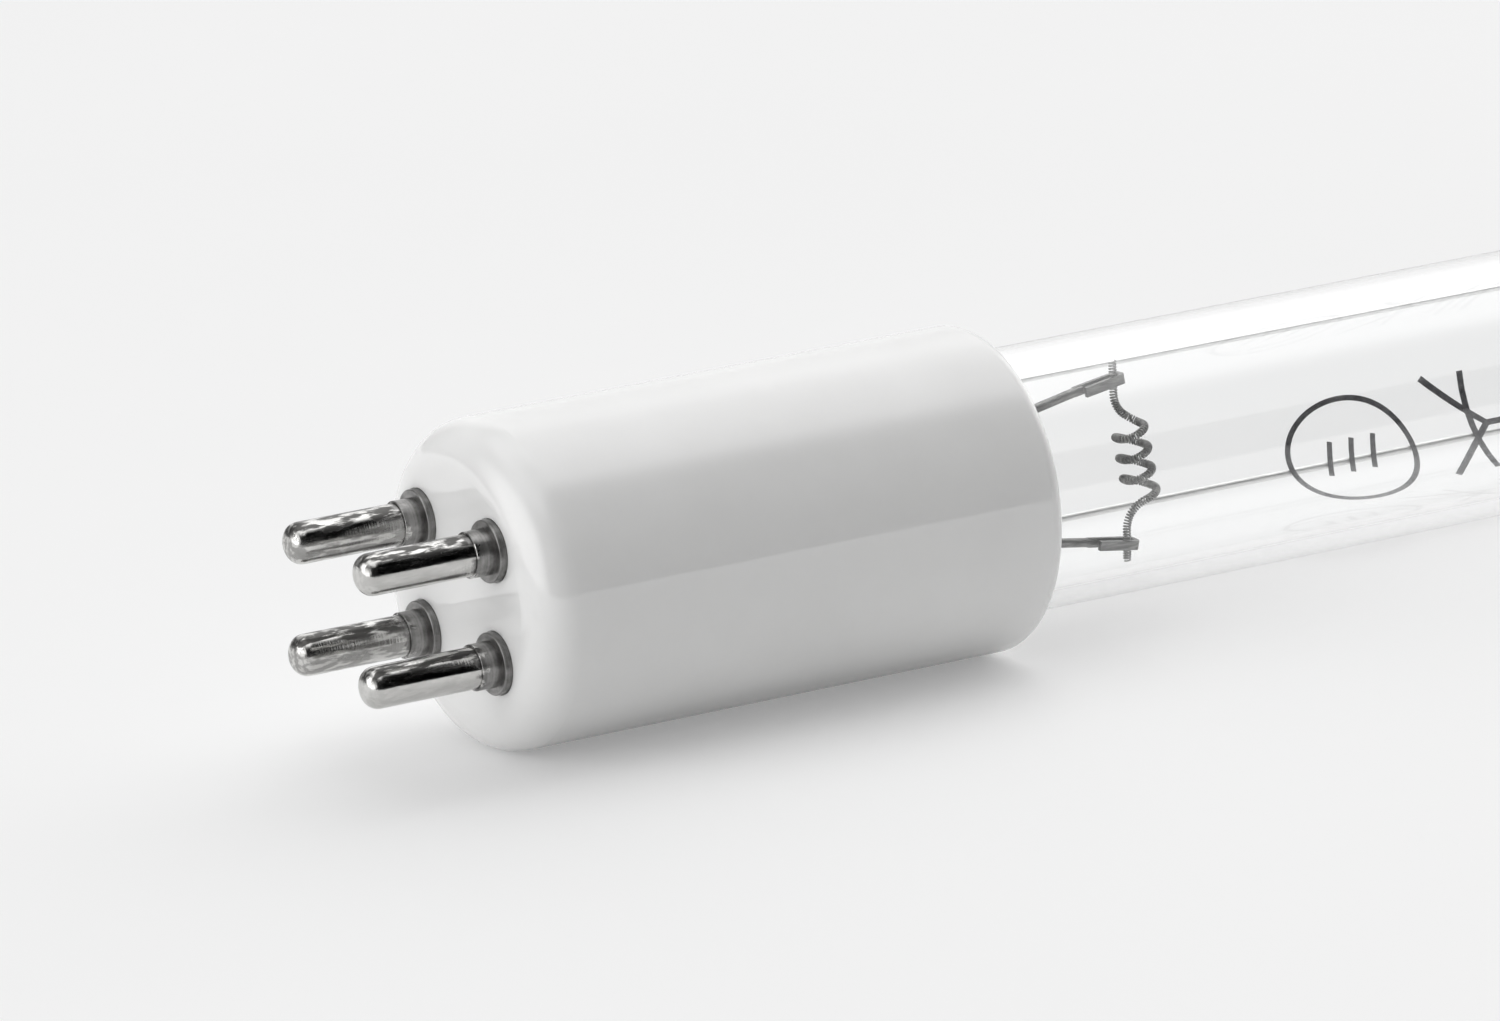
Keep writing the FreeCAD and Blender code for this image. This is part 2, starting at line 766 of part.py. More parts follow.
mercury = doc.addObject("Part::Ellipsoid", "mercury_drop")
mercury.Label = "mercury_drop"
bind(mercury, "Radius1", "mercury_height / 2")
bind(mercury, "Radius2", "mercury_d / 2")
bind(mercury, "Placement.Base.x", "mercury_x")
bind(mercury, "Placement.Base.z", "mercury_height / 2 + tube_wall - tube_od / 2")

# Check everything, then write one file for each piece

doc.recompute()
for thing in doc.Objects:
    if "Invalid" in thing.State or "Error" in thing.State:
        raise RuntimeError(thing.Label + " did not recompute: " + str(thing.State))

pieces = [ceramic_base, end_cap, quartz_tube, base_cement, cap_cement, mercury]
pieces += pins + return_wires + sleeves + foils + inner_leads + outer_leads + filaments
os.makedirs("parts", exist_ok=True)
for piece in pieces:
    shape = piece.Shape
    if shape.isNull() or not shape.isValid() or len(shape.Solids) != 1:
        raise RuntimeError(piece.Label + " is not one sound solid")
    box = shape.BoundBox
    print(
        "%-34s %9.2f mm3  x %7.2f..%7.2f  y %6.2f..%6.2f  z %6.2f..%6.2f"
        % (piece.Label, shape.Volume, box.XMin, box.XMax, box.YMin, box.YMax, box.ZMin, box.ZMax)
    )
for piece in pieces:
    piece.Shape.exportStep("parts/" + piece.Label + ".step")
print(len(pieces), "pieces")
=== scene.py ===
import math

import bmesh
import bpy
from mathutils import Matrix, Vector


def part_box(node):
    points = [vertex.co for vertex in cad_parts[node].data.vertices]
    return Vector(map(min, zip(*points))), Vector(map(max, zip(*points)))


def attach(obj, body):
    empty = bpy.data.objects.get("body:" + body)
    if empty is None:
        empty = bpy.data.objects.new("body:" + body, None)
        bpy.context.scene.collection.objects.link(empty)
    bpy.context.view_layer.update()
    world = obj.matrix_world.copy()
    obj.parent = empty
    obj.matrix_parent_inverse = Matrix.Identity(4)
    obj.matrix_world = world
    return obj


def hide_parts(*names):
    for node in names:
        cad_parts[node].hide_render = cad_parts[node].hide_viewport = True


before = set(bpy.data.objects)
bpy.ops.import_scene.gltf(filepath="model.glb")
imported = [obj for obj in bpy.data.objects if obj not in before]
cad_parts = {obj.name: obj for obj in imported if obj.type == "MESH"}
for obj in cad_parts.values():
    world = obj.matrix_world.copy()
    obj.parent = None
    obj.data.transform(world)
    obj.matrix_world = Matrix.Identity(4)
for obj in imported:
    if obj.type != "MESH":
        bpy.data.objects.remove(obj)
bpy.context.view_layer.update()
bpy.ops.object.select_all(action="DESELECT")

MM = 0.001
GLASS_R = 7.5 * MM
GLASS_BORE_R = 6.5 * MM
GLASS_START = 12 * MM
OVERALL_LENGTH = 212 * MM
GLASS_END_GAP = 8.5 * MM
CERAMIC_R = 9.3 * MM

# The glass gets a finer wall between two cuts, which the base and the cap hide
WALL_SEGMENTS = 720
CUT_FROM_GLASS_END = 19 * MM
ROWS_FROM_CUT = (0.2 * MM, 1.2 * MM)


# Camera

EYE = Vector((-276.24, -505.23, 164.13)) * MM
AIM = Vector((19.11, 0.85, 0.99)) * MM
CAMERA_RIGHT = Vector((0.8564, -0.5148, -0.0388))
FOCAL_LENGTH = 263.5


def place_camera():
    lens = bpy.data.cameras.new("camera")
    lens.lens = FOCAL_LENGTH
    lens.sensor_width = 36.0
    lens.clip_start = 0.01
    lens.clip_end = 50.0
    camera = bpy.data.objects.new("camera", lens)
    bpy.context.scene.collection.objects.link(camera)
    ahead = (AIM - EYE).normalized()
    right = (CAMERA_RIGHT - ahead * CAMERA_RIGHT.dot(ahead)).normalized()
    up = right.cross(ahead)
    turn = Matrix((right, up, -ahead)).transposed().to_4x4()
    camera.matrix_world = Matrix.Translation(EYE) @ turn
    bpy.context.scene.camera = camera


# Small helpers for shader nodes


def add_node(tree, kind, values=None, **settings):
    made = tree.nodes.new(kind)
    for name, value in settings.items():
        setattr(made, name, value)
    for socket, value in (values or {}).items():
        made.inputs[socket].default_value = value
    return made


def new_material(name):
    material = bpy.data.materials.new(name)
    material.use_nodes = True
    tree = material.node_tree
    tree.nodes.clear()
    output = add_node(tree, "ShaderNodeOutputMaterial")
    shader = add_node(tree, "ShaderNodeBsdfPrincipled")
    tree.links.new(shader.outputs["BSDF"], output.inputs["Surface"])
    return material, tree, shader


def object_coordinates(tree, stretch=(1, 1, 1)):
    place = add_node(tree, "ShaderNodeTexCoord")
    mapping = add_node(tree, "ShaderNodeMapping", {"Scale": stretch})
    tree.links.new(place.outputs["Object"], mapping.inputs["Vector"])
    return mapping.outputs["Vector"]


def new_group(name, inputs, outputs):
    group = bpy.data.node_groups.new(name, "ShaderNodeTree")
    for label, kind, value in inputs:
        socket = group.interface.new_socket(label, in_out="INPUT", socket_type=kind)
        if value is not None:
            socket.default_value = value
    for label, kind in outputs:
        group.interface.new_socket(label, in_out="OUTPUT", socket_type=kind)
    return group, group.nodes.new("NodeGroupInput"), group.nodes.new("NodeGroupOutput")


def make_mottle():
    """Soft uneven patches between two values, and their height."""
    group, given, result = new_group(
        "mottle",
        [
            ("Vector", "NodeSocketVector", None),
            ("Scale", "NodeSocketFloat", 100.0),
            ("Lowest", "NodeSocketFloat", 0.0),
            ("Highest", "NodeSocketFloat", 1.0),
        ],
        [("Value", "NodeSocketFloat"), ("Height", "NodeSocketFloat")],
    )
    patches = add_node(group, "ShaderNodeTexNoise", {"Detail": 4.0, "Roughness": 0.55})
    spread = add_node(group, "ShaderNodeMapRange", {"From Min": 0.3, "From Max": 0.7})
    link = group.links.new
    link(given.outputs["Vector"], patches.inputs["Vector"])
    link(given.outputs["Scale"], patches.inputs["Scale"])
    link(patches.outputs["Fac"], spread.inputs["Value"])
    link(given.outputs["Lowest"], spread.inputs["To Min"])
    link(given.outputs["Highest"], spread.inputs["To Max"])
    link(spread.outputs["Result"], result.inputs["Value"])
    link(patches.outputs["Fac"], result.inputs["Height"])
    return group


def make_two_tone():
    """A colour between two others, by a value."""
    group, given, result = new_group(
        "two_tone",
        [
            ("Value", "NodeSocketFloat", 0.5),
            ("Dark", "NodeSocketColor", (0, 0, 0, 1)),
            ("Light", "NodeSocketColor", (1, 1, 1, 1)),
        ],
        [("Color", "NodeSocketColor")],
    )
    mix = add_node(group, "ShaderNodeMix", data_type="RGBA", clamp_factor=True)
    link = group.links.new
    link(given.outputs["Value"], mix.inputs["Factor"])
    link(given.outputs["Dark"], mix.inputs[6])
    link(given.outputs["Light"], mix.inputs[7])
    link(mix.outputs[2], result.inputs["Color"])
    return group


MOTTLE = make_mottle()
TWO_TONE = make_two_tone()


def add_mottle(tree, vector, scale, lowest, highest):
    made = add_node(tree, "ShaderNodeGroup", node_tree=MOTTLE)
    made.inputs["Scale"].default_value = scale
    made.inputs["Lowest"].default_value = lowest
    made.inputs["Highest"].default_value = highest
    tree.links.new(vector, made.inputs["Vector"])
    return made


def add_two_tone(tree, value, dark, light):
    """A colour between two, each given as three numbers or as another node's output."""
    made = add_node(tree, "ShaderNodeGroup", node_tree=TWO_TONE)
    for socket, color in (("Dark", dark), ("Light", light)):
        if isinstance(color, tuple):
            made.inputs[socket].default_value = (*color, 1)
        else:
            tree.links.new(color, made.inputs[socket])
    tree.links.new(value, made.inputs["Value"])
    return made.outputs["Color"]


def add_math(tree, operation, first, second=0.0):
    made = add_node(tree, "ShaderNodeMath", operation=operation)
    for socket, value in zip(made.inputs, (first, second)):
        if isinstance(value, (int, float)):
            socket.default_value = value
        else:
            tree.links.new(value, socket)
    return made.outputs["Value"]


def add_ramp(tree, value, start, end, low=0.0, high=1.0):
    """A soft step: low up to start, high from end on."""
    made = add_node(
        tree,
        "ShaderNodeMapRange",
        {"From Min": start, "From Max": end, "To Min": low, "To Max": high},
        interpolation_type="SMOOTHSTEP",
    )
    tree.links.new(value, made.inputs["Value"])
    return made.outputs["Result"]


def add_bump(tree, shader, height, strength, distance):
    bump = add_node(tree, "ShaderNodeBump", {"Strength": strength, "Distance": distance})
    tree.links.new(height, bump.inputs["Height"])
    tree.links.new(bump.outputs["Normal"], shader.inputs["Normal"])


def set_values(shader, values):
    for socket, value in values.items():
        shader.inputs[socket].default_value = value


# Materials


def glazed_porcelain():
    material, tree, shader = new_material("glazed_porcelain")
    place = object_coordinates(tree)
    clouds = add_mottle(tree, place, 180, 0.0, 1.0)
    color = add_two_tone(tree, clouds.outputs["Value"], (0.838, 0.838, 0.833), (0.868, 0.868, 0.863))
    tree.links.new(color, shader.inputs["Base Color"])
    gloss = add_mottle(tree, place, 420, 0.025, 0.045)
    tree.links.new(gloss.outputs["Value"], shader.inputs["Roughness"])
    set_values(
        shader,
        {
            "IOR": 1.52,
            "Specular IOR Level": 0.75,
            "Subsurface Weight": 0.35,
            "Subsurface Radius": (1.0, 1.0, 1.0),
            "Subsurface Scale": 1.2 * MM,
        },
    )
    return material


def nickel_plate(name, pin_y, pin_z):
    """Plated pins with painted shade: dark streaks on their upper half, weaker on the back pins, and a dark
    band where they meet the ceramic.
    """
    material, tree, shader = new_material(name)
    along = object_coordinates(tree, (0.25, 1, 1))
    film = add_mottle(tree, along, 1500, 0.0, 1.0)
    plate = add_two_tone(tree, film.outputs["Value"], (0.56, 0.555, 0.54), (0.72, 0.715, 0.70))
    place = add_node(tree, "ShaderNodeTexCoord")
    apart = add_node(tree, "ShaderNodeSeparateXYZ")
    tree.links.new(place.outputs["Object"], apart.inputs["Vector"])
    height = add_math(tree, "SUBTRACT", apart.outputs["Z"], pin_z)
    # Painted shade: the dark streaks are masked to the upper half of each pin, and to at least half
    # strength on the back pins, so the tops render darker; only the streak pattern itself is random
    upper = add_ramp(tree, height, 0.25 * MM, 0.75 * MM, 0.12, 1.0)
    streaks = add_mottle(tree, object_coordinates(tree, (0.3, 1.3, 1.3)), 2300, 0.0, 1.0)
    rear = add_ramp(tree, apart.outputs["Y"], -1 * MM, 1 * MM, 0.0, 0.5)
    upper = add_math(tree, "MAXIMUM", upper, rear)
    streaks_and_painted_shade = add_math(tree, "MULTIPLY", add_ramp(tree, streaks.outputs["Value"], 0.28, 0.62), upper)
    plate_and_painted_shade = add_two_tone(tree, streaks_and_painted_shade, plate, (0.10, 0.098, 0.095))
    # Painted shade where each pin meets the ceramic: a dark tone, varied by rings and patches, within about
    # 1.5 mm of the face with a ragged edge
    edge = add_mottle(tree, object_coordinates(tree), 1300, -0.55 * MM, 0.55 * MM)
    depth = add_math(tree, "ADD", apart.outputs["X"], edge.outputs["Value"])
    painted_shade_at_face = add_ramp(tree, depth, -1.85 * MM, -1.45 * MM)
    across = add_math(tree, "SUBTRACT", add_math(tree, "ABSOLUTE", apart.outputs["Y"]), pin_y)
    squares = [add_math(tree, "MULTIPLY", side, side) for side in (across, height)]
    radius = add_math(tree, "SQRT", add_math(tree, "ADD", *squares))
    ring_place = add_node(tree, "ShaderNodeCombineXYZ")
    tree.links.new(radius, ring_place.inputs["X"])
    tree.links.new(apart.outputs["X"], ring_place.inputs["Y"])
    rings = add_mottle(tree, ring_place.outputs["Vector"], 4200, 0.0, 1.0)
    patches = add_mottle(tree, object_coordinates(tree), 1700, 0.0, 0.6)
    rings_and_patches = add_math(tree, "MULTIPLY", rings.outputs["Value"], 0.7)
    rings_and_patches = add_math(tree, "ADD", rings_and_patches, patches.outputs["Value"])
    face_shade_tone = add_two_tone(tree, rings_and_patches, (0.07, 0.069, 0.067), (0.34, 0.335, 0.33))
    tree.links.new(add_two_tone(tree, painted_shade_at_face, plate_and_painted_shade, face_shade_tone), shader.inputs["Base Color"])
    haze = add_mottle(tree, along, 2600, 0.07, 0.2)
    dull = add_math(tree, "MULTIPLY", add_math(tree, "MAXIMUM", painted_shade_at_face, streaks_and_painted_shade), 0.22)
    tree.links.new(add_math(tree, "ADD", haze.outputs["Value"], dull), shader.inputs["Roughness"])
    turning = add_mottle(tree, object_coordinates(tree, (1, 0, 0)), 7000, 0.0, 0.35)
    dents = add_mottle(tree, along, 1100, 0.0, 1.0)
    relief = add_math(tree, "ADD", turning.outputs["Value"], dents.outputs["Height"])
    add_bump(tree, shader, relief, 0.5, 0.03 * MM)
    set_values(shader, {"Metallic": 1.0})
    return material


def fused_quartz():
    """Clear glass, which lets shadow rays and diffuse rays straight through."""
    material, tree, shader = new_material("fused_quartz")
    along = object_coordinates(tree, (0.02, 1, 1))
    draw_lines = add_mottle(tree, along, 500, 0.0, 1.0)
    tint = add_two_tone(tree, draw_lines.outputs["Value"], (0.985, 0.99, 0.99), (1, 1, 1))
    tree.links.new(tint, shader.inputs["Base Color"])
    set_values(shader, {"Transmission Weight": 1.0, "IOR": 1.458, "Roughness": 0.0})
    rays = add_node(tree, "ShaderNodeLightPath")
    either = add_math(tree, "MAXIMUM", rays.outputs["Is Shadow Ray"], rays.outputs["Is Diffuse Ray"])
    clear = add_node(tree, "ShaderNodeBsdfTransparent")
    mix = add_node(tree, "ShaderNodeMixShader")
    output = tree.nodes["Material Output"]
    tree.links.new(either, mix.inputs["Fac"])
    tree.links.new(shader.outputs["BSDF"], mix.inputs[1])
    tree.links.new(clear.outputs["BSDF"], mix.inputs[2])
    tree.links.new(mix.outputs["Shader"], output.inputs["Surface"])
    return material


def lamp_cement():
    material, tree, shader = new_material("lamp_cement")
    place = object_coordinates(tree)
    grains = add_mottle(tree, place, 2600, 0.0, 1.0)
    color = add_two_tone(tree, grains.outputs["Value"], (0.70, 0.69, 0.66), (0.84, 0.83, 0.80))
    tree.links.new(color, shader.inputs["Base Color"])
    add_bump(tree, shader, grains.outputs["Height"], 0.6, 0.08 * MM)
    set_values(shader, {"Roughness": 0.9})
    return material


def drawn_wire(name, dark, light, roughest, metallic=1.0):
    material, tree, shader = new_material(name)
    along = object_coordinates(tree, (0.2, 1, 1))
    streaks = add_mottle(tree, along, 6000, 0.0, 1.0)
    color = add_two_tone(tree, streaks.outputs["Value"], dark, light)
    tree.links.new(color, shader.inputs["Base Color"])
    dull = add_mottle(tree, along, 3500, roughest - 0.14, roughest)
    tree.links.new(dull.outputs["Value"], shader.inputs["Roughness"])
    add_bump(tree, shader, streaks.outputs["Height"], 0.4, 0.01 * MM)
    set_values(shader, {"Metallic": metallic})
    return material


def coated_tungsten():
    material, tree, shader = new_material("coated_tungsten")
    place = object_coordinates(tree)
    crust = add_mottle(tree, place, 2400, 0.0, 1.0)
    color = add_two_tone(tree, crust.outputs["Value"], (0.26, 0.26, 0.262), (0.56, 0.56, 0.55))
    tree.links.new(color, shader.inputs["Base Color"])
    add_bump(tree, shader, crust.outputs["Height"], 0.5, 0.02 * MM)
    set_values(shader, {"Metallic": 0.3, "Roughness": 0.6})
    return material


def mercury_bead():
    material, tree, shader = new_material("mercury_bead")
    place = object_coordinates(tree)
    skin = add_mottle(tree, place, 1800, 0.02, 0.07)
    tree.links.new(skin.outputs["Value"], shader.inputs["Roughness"])
    color = add_two_tone(tree, skin.outputs["Height"], (0.78, 0.79, 0.81), (0.86, 0.87, 0.89))
    tree.links.new(color, shader.inputs["Base Color"])
    set_values(shader, {"Metallic": 1.0})
    return material


def tube_ink():
    material, tree, shader = new_material("tube_ink")
    place = object_coordinates(tree)
    cover = add_mottle(tree, place, 2200, 0.0, 1.0)
    color = add_two_tone(tree, cover.outputs["Value"], (0.06, 0.06, 0.065), (0.18, 0.18, 0.185))
    tree.links.new(color, shader.inputs["Base Color"])
    add_bump(tree, shader, cover.outputs["Height"], 0.3, 0.01 * MM)
    set_values(shader, {"Roughness": 0.6})
    return material


def pin_middle(node):
    lowest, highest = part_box(node)
    return (lowest[1] + highest[1]) / 2, (lowest[2] + highest[2]) / 2


PORCELAIN = glazed_porcelain()
UPPER_NICKEL = nickel_plate("nickel_plate_upper", *pin_middle("rear_upper_contact_pin"))
LOWER_NICKEL = nickel_plate("nickel_plate_lower", *pin_middle("rear_lower_contact_pin"))
QUARTZ = fused_quartz()
CEMENT = lamp_cement()
LEAD_WIRE = drawn_wire("lead_wire", (0.12, 0.12, 0.118), (0.30, 0.30, 0.295), 0.5)
RETURN_WIRE = drawn_wire("return_wire", (0.86, 0.86, 0.85), (0.96, 0.96, 0.95), 0.5)
MOLYBDENUM = drawn_wire("molybdenum", (0.42, 0.42, 0.44), (0.58, 0.58, 0.60), 0.35)
TUNGSTEN = coated_tungsten()
MERCURY = mercury_bead()
INK = tube_ink()


def finish_of(node):
    if node in ("ceramic_base", "end_cap"):
        return PORCELAIN
    if node == "quartz_tube":
        return QUARTZ
    if node.endswith("_cement"):
        return CEMENT
    if node == "mercury_drop":
        return MERCURY
    if node.endswith("_contact_pin"):
        return UPPER_NICKEL if "upper" in node else LOWER_NICKEL
    if node.endswith("_return_wire") or node.endswith("_splice_sleeve"):
        return RETURN_WIRE
    if node.endswith("_foil"):
        return MOLYBDENUM
    if node.endswith("_filament"):
        return TUNGSTEN
    return LEAD_WIRE


def dress_nodes():
    for node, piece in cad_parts.items():
        finish = finish_of(node)
        if not piece.material_slots:
            piece.data.materials.append(finish)
        for slot in piece.material_slots:
            slot.link = "OBJECT"
            slot.material = finish


def place_piece(name, data):
    """Puts new data in the scene as the one selected and active object."""
    piece = bpy.data.objects.new(name, data)
    bpy.context.scene.collection.objects.link(piece)
    bpy.ops.object.select_all(action="DESELECT")
    piece.select_set(True)
    bpy.context.view_layer.objects.active = piece
    return piece


# Filament, wound from fine wire along the same route as its solid

COIL_WIRE_R = 0.055 * MM
COIL_WINDING_R = 0.19 * MM
COIL_WINDING_PITCH = 0.165 * MM
STEPS_PER_TURN = 12


def arc_points(start, leaving, finish, count):
    """Points along the arc that leaves start in one direction and ends at finish."""
    chord = finish - start
    along = chord.normalized()
    turn = leaving.angle(chord)
    if turn < 1e-4:
        return [start.lerp(finish, i / count) for i in range(1, count + 1)]
    side = (leaving - along * leaving.dot(along)).normalized()
    radius = chord.length / 2 / math.sin(turn)
    normal = (side * math.cos(turn) - along * math.sin(turn)).normalized()
    middle = start - normal * radius
    spoke = start - middle
    swing = leaving.normalized()
    return [
        middle
        + spoke * math.cos(2 * turn * i / count)
        + swing * radius * math.sin(2 * turn * i / count)
        for i in range(1, count + 1)
    ]


def double_arc_points(start, leaving, finish, arriving, count):
    reach = finish - start
    total = leaving + arriving
    a = 2 * (leaving.dot(arriving) - 1)
    b = -2 * reach.dot(total)
    c = reach.dot(reach)
    d = (-b - math.sqrt(b * b - 4 * a * c)) / (2 * a)
    first = start + leaving * d
    last = finish - arriving * d
    joint = (first + last) / 2
    onward = (last - first).normalized()
    return arc_points(start, leaving, joint, count) + arc_points(joint, onward, finish, count)


def filament_route():
    """Middle line of the strand at the base end, in metres from the end of the glass."""
    coil_r, half_pitch, lean = 0.86, 1.25 / 2, 0.17
    filament_x = 30.7
    tail_x, low_tail_x, axis_x = filament_x + 0.22, filament_x - 0.25, filament_x + 0.95
    top, bottom, top_hook, low_hook, clear = 5.43, -5.9, 4.37, -4.78, 0.82
    down, nearer = Vector((0, 0, -1)), Vector((0, -1, 0))
    z = 1.8
    here = Vector((axis_x - lean * z + coil_r, 0, z))
    bend = Vector((tail_x, coil_r, top_hook - clear))
    route = [Vector((tail_x, coil_r, top)), bend]
    route += double_arc_points(bend, down, here, nearer, 14)
    for half_turn in range(6):
        z -= half_pitch
        even = half_turn % 2 == 0
        there = Vector((axis_x - lean * z + (-coil_r if even else coil_r), 0, z))
        route += arc_points(here, nearer if even else -nearer, there, 20)
        here = there
    bend = Vector((low_tail_x, -coil_r, low_hook + clear))
    route += double_arc_points(here, nearer, bend, down, 14)
    route.append(Vector((low_tail_x, -coil_r, bottom)))
    return [point * MM for point in route]


def wind_along(route):
    """Points of a helix round the route."""
    points = []
    side = Vector((1, 0, 0))
    phase = 0.0
    step = COIL_WINDING_PITCH / STEPS_PER_TURN
    turn = 2 * math.pi / STEPS_PER_TURN
    left_over = 0.0
    for start, finish in zip(route, route[1:]):
        along = finish - start
        run = along.length
        along.normalize()
        side = (side - along * side.dot(along)).normalized()
        other = along.cross(side)
        travelled = left_over
        while travelled < run:
            out = side * math.cos(phase) + other * math.sin(phase)
            points.append(start + along * travelled + out * COIL_WINDING_R)
            phase += turn
            travelled += step
        left_over = travelled - run
    return points


def make_winding(name, node, to_lamp):
    shape = bpy.data.curves.new(name, "CURVE")
    shape.dimensions = "3D"
    shape.bevel_depth = COIL_WIRE_R
    shape.bevel_resolution = 1
    shape.use_fill_caps = True
    points = [to_lamp @ p for p in wind_along(filament_route())]
    spline = shape.splines.new("POLY")
    spline.points.add(len(points) - 1)
    for spot, point in zip(spline.points, points):
        spot.co = (*point, 1)
    winding = place_piece(name, shape)
    bpy.ops.object.convert(target="MESH")
    bpy.ops.object.shade_smooth_by_angle(angle=math.radians(60))
    winding.data.materials.clear()
    winding.data.materials.append(TUNGSTEN)
    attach(winding, "root")
    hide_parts(node)


# Quartz envelope, with a finer wall between the two ceramics than its solid's mesh


def on_circle(spot, x, radius):
    return abs(spot.x - x) < 0.01 * MM and abs(spot.yz.length - radius) < 0.1 * MM


def make_fine_wall(name, node, cuts, radii, finish):
    """A copy of a round hollow piece, its wall between two cuts made anew. Radii: outer and inner."""
    shell = bmesh.new()
    shell.from_mesh(bpy.data.objects[node].data)
    bmesh.ops.remove_doubles(shell, verts=shell.verts, dist=0.0005 * MM)
    for x in cuts:
        everything = shell.verts[:] + shell.edges[:] + shell.faces[:]
        bmesh.ops.bisect_plane(shell, geom=everything, plane_co=(x, 0, 0), plane_no=(1, 0, 0))
    middle = [f for f in shell.faces if cuts[0] < f.calc_center_median().x < cuts[1]]
    bmesh.ops.delete(shell, geom=middle, context="FACES")
    stations = [cuts[0] + step for step in ROWS_FROM_CUT]
    stations += [cuts[1] - step for step in reversed(ROWS_FROM_CUT)]
    turns = [2 * math.pi * i / WALL_SEGMENTS for i in range(WALL_SEGMENTS)]
    for radius in radii:
        circle = [(radius * math.cos(t), radius * math.sin(t)) for t in turns]
        rows = [[shell.verts.new((x, y, z)) for y, z in circle] for x in stations]
        for near, far in zip(rows, rows[1:]):
            for i in range(WALL_SEGMENTS):
                j = (i + 1) % WALL_SEGMENTS
                shell.faces.new((near[i], far[i], far[j], near[j]))
        for x, row in zip(cuts, (rows[0], rows[-1])):
            fine = set(row)
            open_edges = [e for e in shell.edges if e.is_boundary]
            rims = [e for e in open_edges if all(on_circle(v.co, x, radius) for v in e.verts)]
            rims += [e for e in open_edges if fine.issuperset(e.verts)]
            bmesh.ops.bridge_loops(shell, edges=rims)
    bmesh.ops.recalc_face_normals(shell, faces=shell.faces)
    data = bpy.data.meshes.new(name)
    shell.to_mesh(data)
    shell.free()
    piece = place_piece(name, data)
    bpy.ops.object.shade_smooth_by_angle(angle=math.radians(25))
    middle_radius = sum(radii) / 2
    straight = [corner.vector.copy() for corner in data.corner_normals]
    for corner in data.loops:
        spot = data.vertices[corner.vertex_index].co
        if cuts[0] < spot.x < cuts[1]:
            outward = Vector((0, spot.y, spot.z)).normalized()
            straight[corner.index] = outward if spot.yz.length > middle_radius else -outward
    data.normals_split_custom_set(straight)
    data.materials.append(finish)
    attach(piece, "root")
    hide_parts(node)


# Print on the back of the glass

INK_R = GLASS_R + 0.004 * MM
INK_THICKNESS = 0.012 * MM


def add_stroke(mesh, points, width, closed=False):
    """A ribbon along flat points, in millimetres along the tube and round it."""
    count = len(points)
    rows = []
    for i, (x, s) in enumerate(points):
        before = points[i - 1] if i or closed else points[i]
        after = points[(i + 1) % count] if i < count - 1 or closed else points[i]
        along = Vector((after[0] - before[0], after[1] - before[1])).normalized()
        aside = Vector((-along.y, along.x)) * width / 2
        rows.append([mesh.verts.new((x + k * aside.x, s + k * aside.y, 0)) for k in (-1, 0, 1)])
    for i in range(count if closed else count - 1):
        a, b = rows[i], rows[(i + 1) % count]
        for k in (0, 1):
            mesh.faces.new((a[k], b[k], b[k + 1], a[k + 1]))


def line(x0, s0, x1, s1, count=6):
    return [(x0 + (x1 - x0) * i / count, s0 + (s1 - s0) * i / count) for i in range(count + 1)]


def ring(x, s, half_length, half_height, count=72):
    step = 2 * math.pi / count
    return [
        (x + half_length * math.cos(i * step), s + half_height * math.sin(i * step)) for i in range(count)
    ]


def make_print(name, middle_x, middle_angle, strokes):
    mesh = bmesh.new()
    for points, width, closed in strokes:
        add_stroke(mesh, points, width, closed)
    for corner in mesh.verts:
        x, s = corner.co.x * MM, corner.co.y * MM
        angle = math.radians(middle_angle) + s / GLASS_R
        corner.co = (middle_x + x, INK_R * math.sin(angle), INK_R * math.cos(angle))
    data = bpy.data.meshes.new(name)
    mesh.to_mesh(data)
    mesh.free()
    piece = place_piece(name, data)
    thick = piece.modifiers.new("thick", "SOLIDIFY")
    thick.thickness = INK_THICKNESS
    thick.offset = 1.0
    bpy.ops.object.modifier_apply(modifier="thick")
    data.materials.append(INK)
    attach(piece, "root")


# Floor, lights and surroundings


FLOOR_SIZE = 6.0
FLOOR_GLOW = 0.3
FLOOR_GLOW_THROUGH_GLASS = 0.6
FLOOR_GLOW_TONE = 0.95
BACKDROP_TONE = 0.90
DIM_ROOM = 0.02
DARK_SIDE = (0.487, -0.706, 0.513)

# Pale areas of the room: direction, cosine where each starts, cosine where it is full, strength
SKY = [
    ((0, 0, 1), 0.7, 0.95, 1.65),
    ((0.15, 0.6, 0.8), 0.75, 0.95, 0.35),
    ((0.75, 0.2, 0.65), 0.75, 0.95, 0.95),
    ((0, 1, 0.3), 0.7, 0.95, 0.35),
    ((0.75, 0.75, 0.3), 0.7, 0.95, 1.0),
    ((-1, 0, 0.25), 0.7, 0.95, 2.7),
    ((1, 0, 0.3), 0.7, 0.95, 0.9),
]


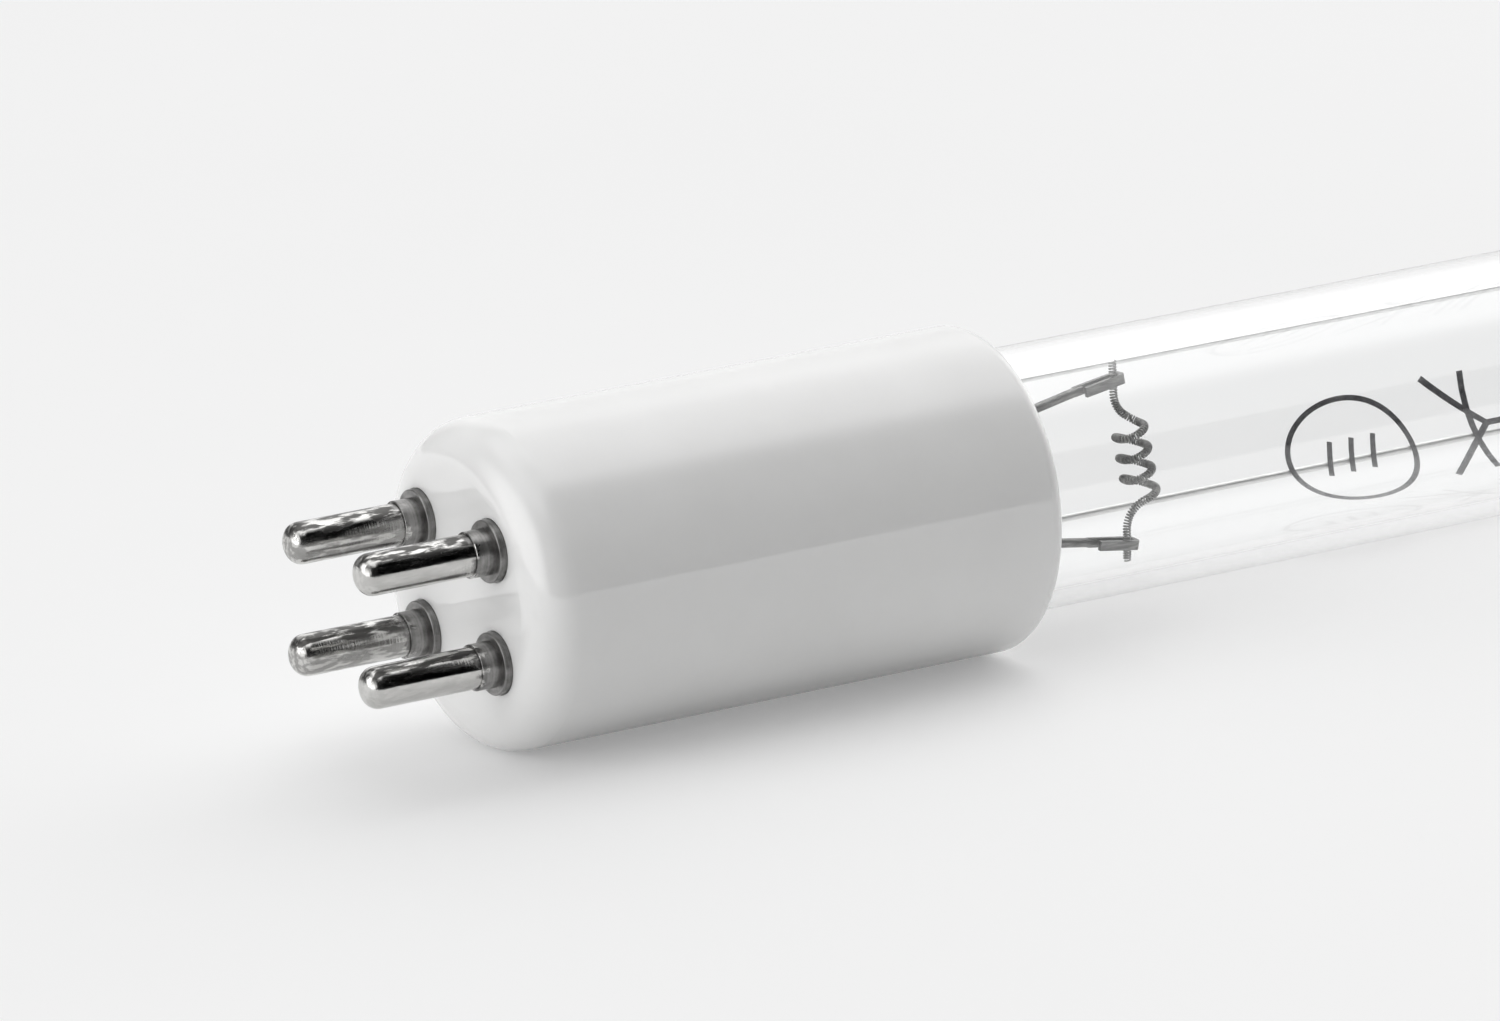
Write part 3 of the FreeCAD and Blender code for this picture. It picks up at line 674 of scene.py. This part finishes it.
def make_floor():
    """A white table. Part of what the camera sees of it shines by itself, which keeps shadows pale."""
    bpy.ops.mesh.primitive_plane_add(size=FLOOR_SIZE, location=(0, 0, -CERAMIC_R))
    floor = bpy.context.object
    floor.name = "table"
    bpy.ops.object.transform_apply(location=True)
    material, tree, shader = new_material("table_top")
    place = object_coordinates(tree)
    clouds = add_mottle(tree, place, 14, 0.0, 1.0)
    color = add_two_tone(tree, clouds.outputs["Value"], (0.885, 0.885, 0.885), (0.90, 0.90, 0.90))
    link = tree.links.new
    link(color, shader.inputs["Base Color"])
    set_values(shader, {"Roughness": 0.75, "Specular IOR Level": 0.2})
    rays = add_node(tree, "ShaderNodeLightPath")
    seen = add_math(tree, "ADD", rays.outputs["Is Camera Ray"], rays.outputs["Is Glossy Ray"])
    through = add_math(tree, "MULTIPLY", rays.outputs["Is Transmission Ray"], FLOOR_GLOW_THROUGH_GLASS)
    share = add_math(tree, "MAXIMUM", add_math(tree, "MULTIPLY", seen, FLOOR_GLOW), through)
    glow = add_node(tree, "ShaderNodeEmission", {"Color": (*[FLOOR_GLOW_TONE] * 3, 1)})
    mix = add_node(tree, "ShaderNodeMixShader")
    link(share, mix.inputs["Fac"])
    link(shader.outputs["BSDF"], mix.inputs[1])
    link(glow.outputs["Emission"], mix.inputs[2])
    link(mix.outputs["Shader"], tree.nodes["Material Output"].inputs["Surface"])
    floor.data.materials.append(material)


def light_world():
    """A pale room, brighter behind, with a dark opening where the camera's side faces the lamp."""
    world = bpy.data.worlds.new("studio")
    bpy.context.scene.world = world
    world.use_nodes = True
    tree = world.node_tree
    tree.nodes.clear()
    link = tree.links.new
    output = add_node(tree, "ShaderNodeOutputWorld")
    way = add_node(tree, "ShaderNodeTexCoord")

    def towards(direction, start, full, low, high):
        dot = add_node(tree, "ShaderNodeVectorMath", operation="DOT_PRODUCT")
        dot.inputs[1].default_value = Vector(direction).normalized()
        link(way.outputs["Generated"], dot.inputs[0])
        return add_ramp(tree, dot.outputs["Value"], start, full, low, high)

    light = DIM_ROOM
    for direction, start, full, strength in SKY:
        light = add_math(tree, "ADD", light, towards(direction, start, full, 0.0, strength))
    light = add_math(tree, "MULTIPLY", light, towards(DARK_SIDE, 0.75, 0.93, 1.0, 0.02))
    room = add_node(tree, "ShaderNodeBackground")
    pale = add_node(tree, "ShaderNodeBackground", {"Color": (*[BACKDROP_TONE] * 3, 1)})
    rays = add_node(tree, "ShaderNodeLightPath")
    mix = add_node(tree, "ShaderNodeMixShader")
    link(light, room.inputs["Strength"])
    link(rays.outputs["Is Camera Ray"], mix.inputs["Fac"])
    link(room.outputs["Background"], mix.inputs[1])
    link(pale.outputs["Background"], mix.inputs[2])
    link(mix.outputs["Shader"], output.inputs["Surface"])


bpy.context.scene.view_settings.view_transform = "Standard"
place_camera()
dress_nodes()
from_base_end = Matrix.Translation((GLASS_START, 0, 0))
from_cap_end = Matrix.Translation((OVERALL_LENGTH - GLASS_END_GAP, 0, 0)) @ Matrix.Rotation(math.pi, 4, "Z")
make_winding("base_end_winding", "base_end_filament", from_base_end)
make_winding("cap_end_winding", "cap_end_filament", from_cap_end)
glass_cuts = (GLASS_START + CUT_FROM_GLASS_END, OVERALL_LENGTH - GLASS_END_GAP - CUT_FROM_GLASS_END)
make_fine_wall("quartz_envelope", "quartz_tube", glass_cuts, (GLASS_R, GLASS_BORE_R), QUARTZ)
make_print(
    "ring_print",
    62.0 * MM,
    129.3,
    [
        (ring(0, 0, 4.2, 3.85), 0.36, True),
        (line(-1.9, 1.2, -1.1, -1.2), 0.34, False),
        (line(-0.4, 1.2, 0.4, -1.2), 0.34, False),
        (line(1.1, 1.2, 1.9, -1.2), 0.34, False),
    ],
)
make_print(
    "arrow_print",
    73.2 * MM,
    124.0,
    [
        (line(-5.4, -3.4, -1.6, 0.3), 0.42, False),
        (line(-5.4, 4.0, -1.6, 0.3), 0.42, False),
        (line(-1.6, 0.3, 5.0, 0.3), 0.42, False),
        (line(-2.6, -3.4, -2.6, 4.0), 0.42, False),
        (line(1.2, -3.4, 1.2, 4.0), 0.42, False),
        (line(3.0, -3.4, 3.0, 4.0), 0.42, False),
    ],
)
make_floor()
light_world()
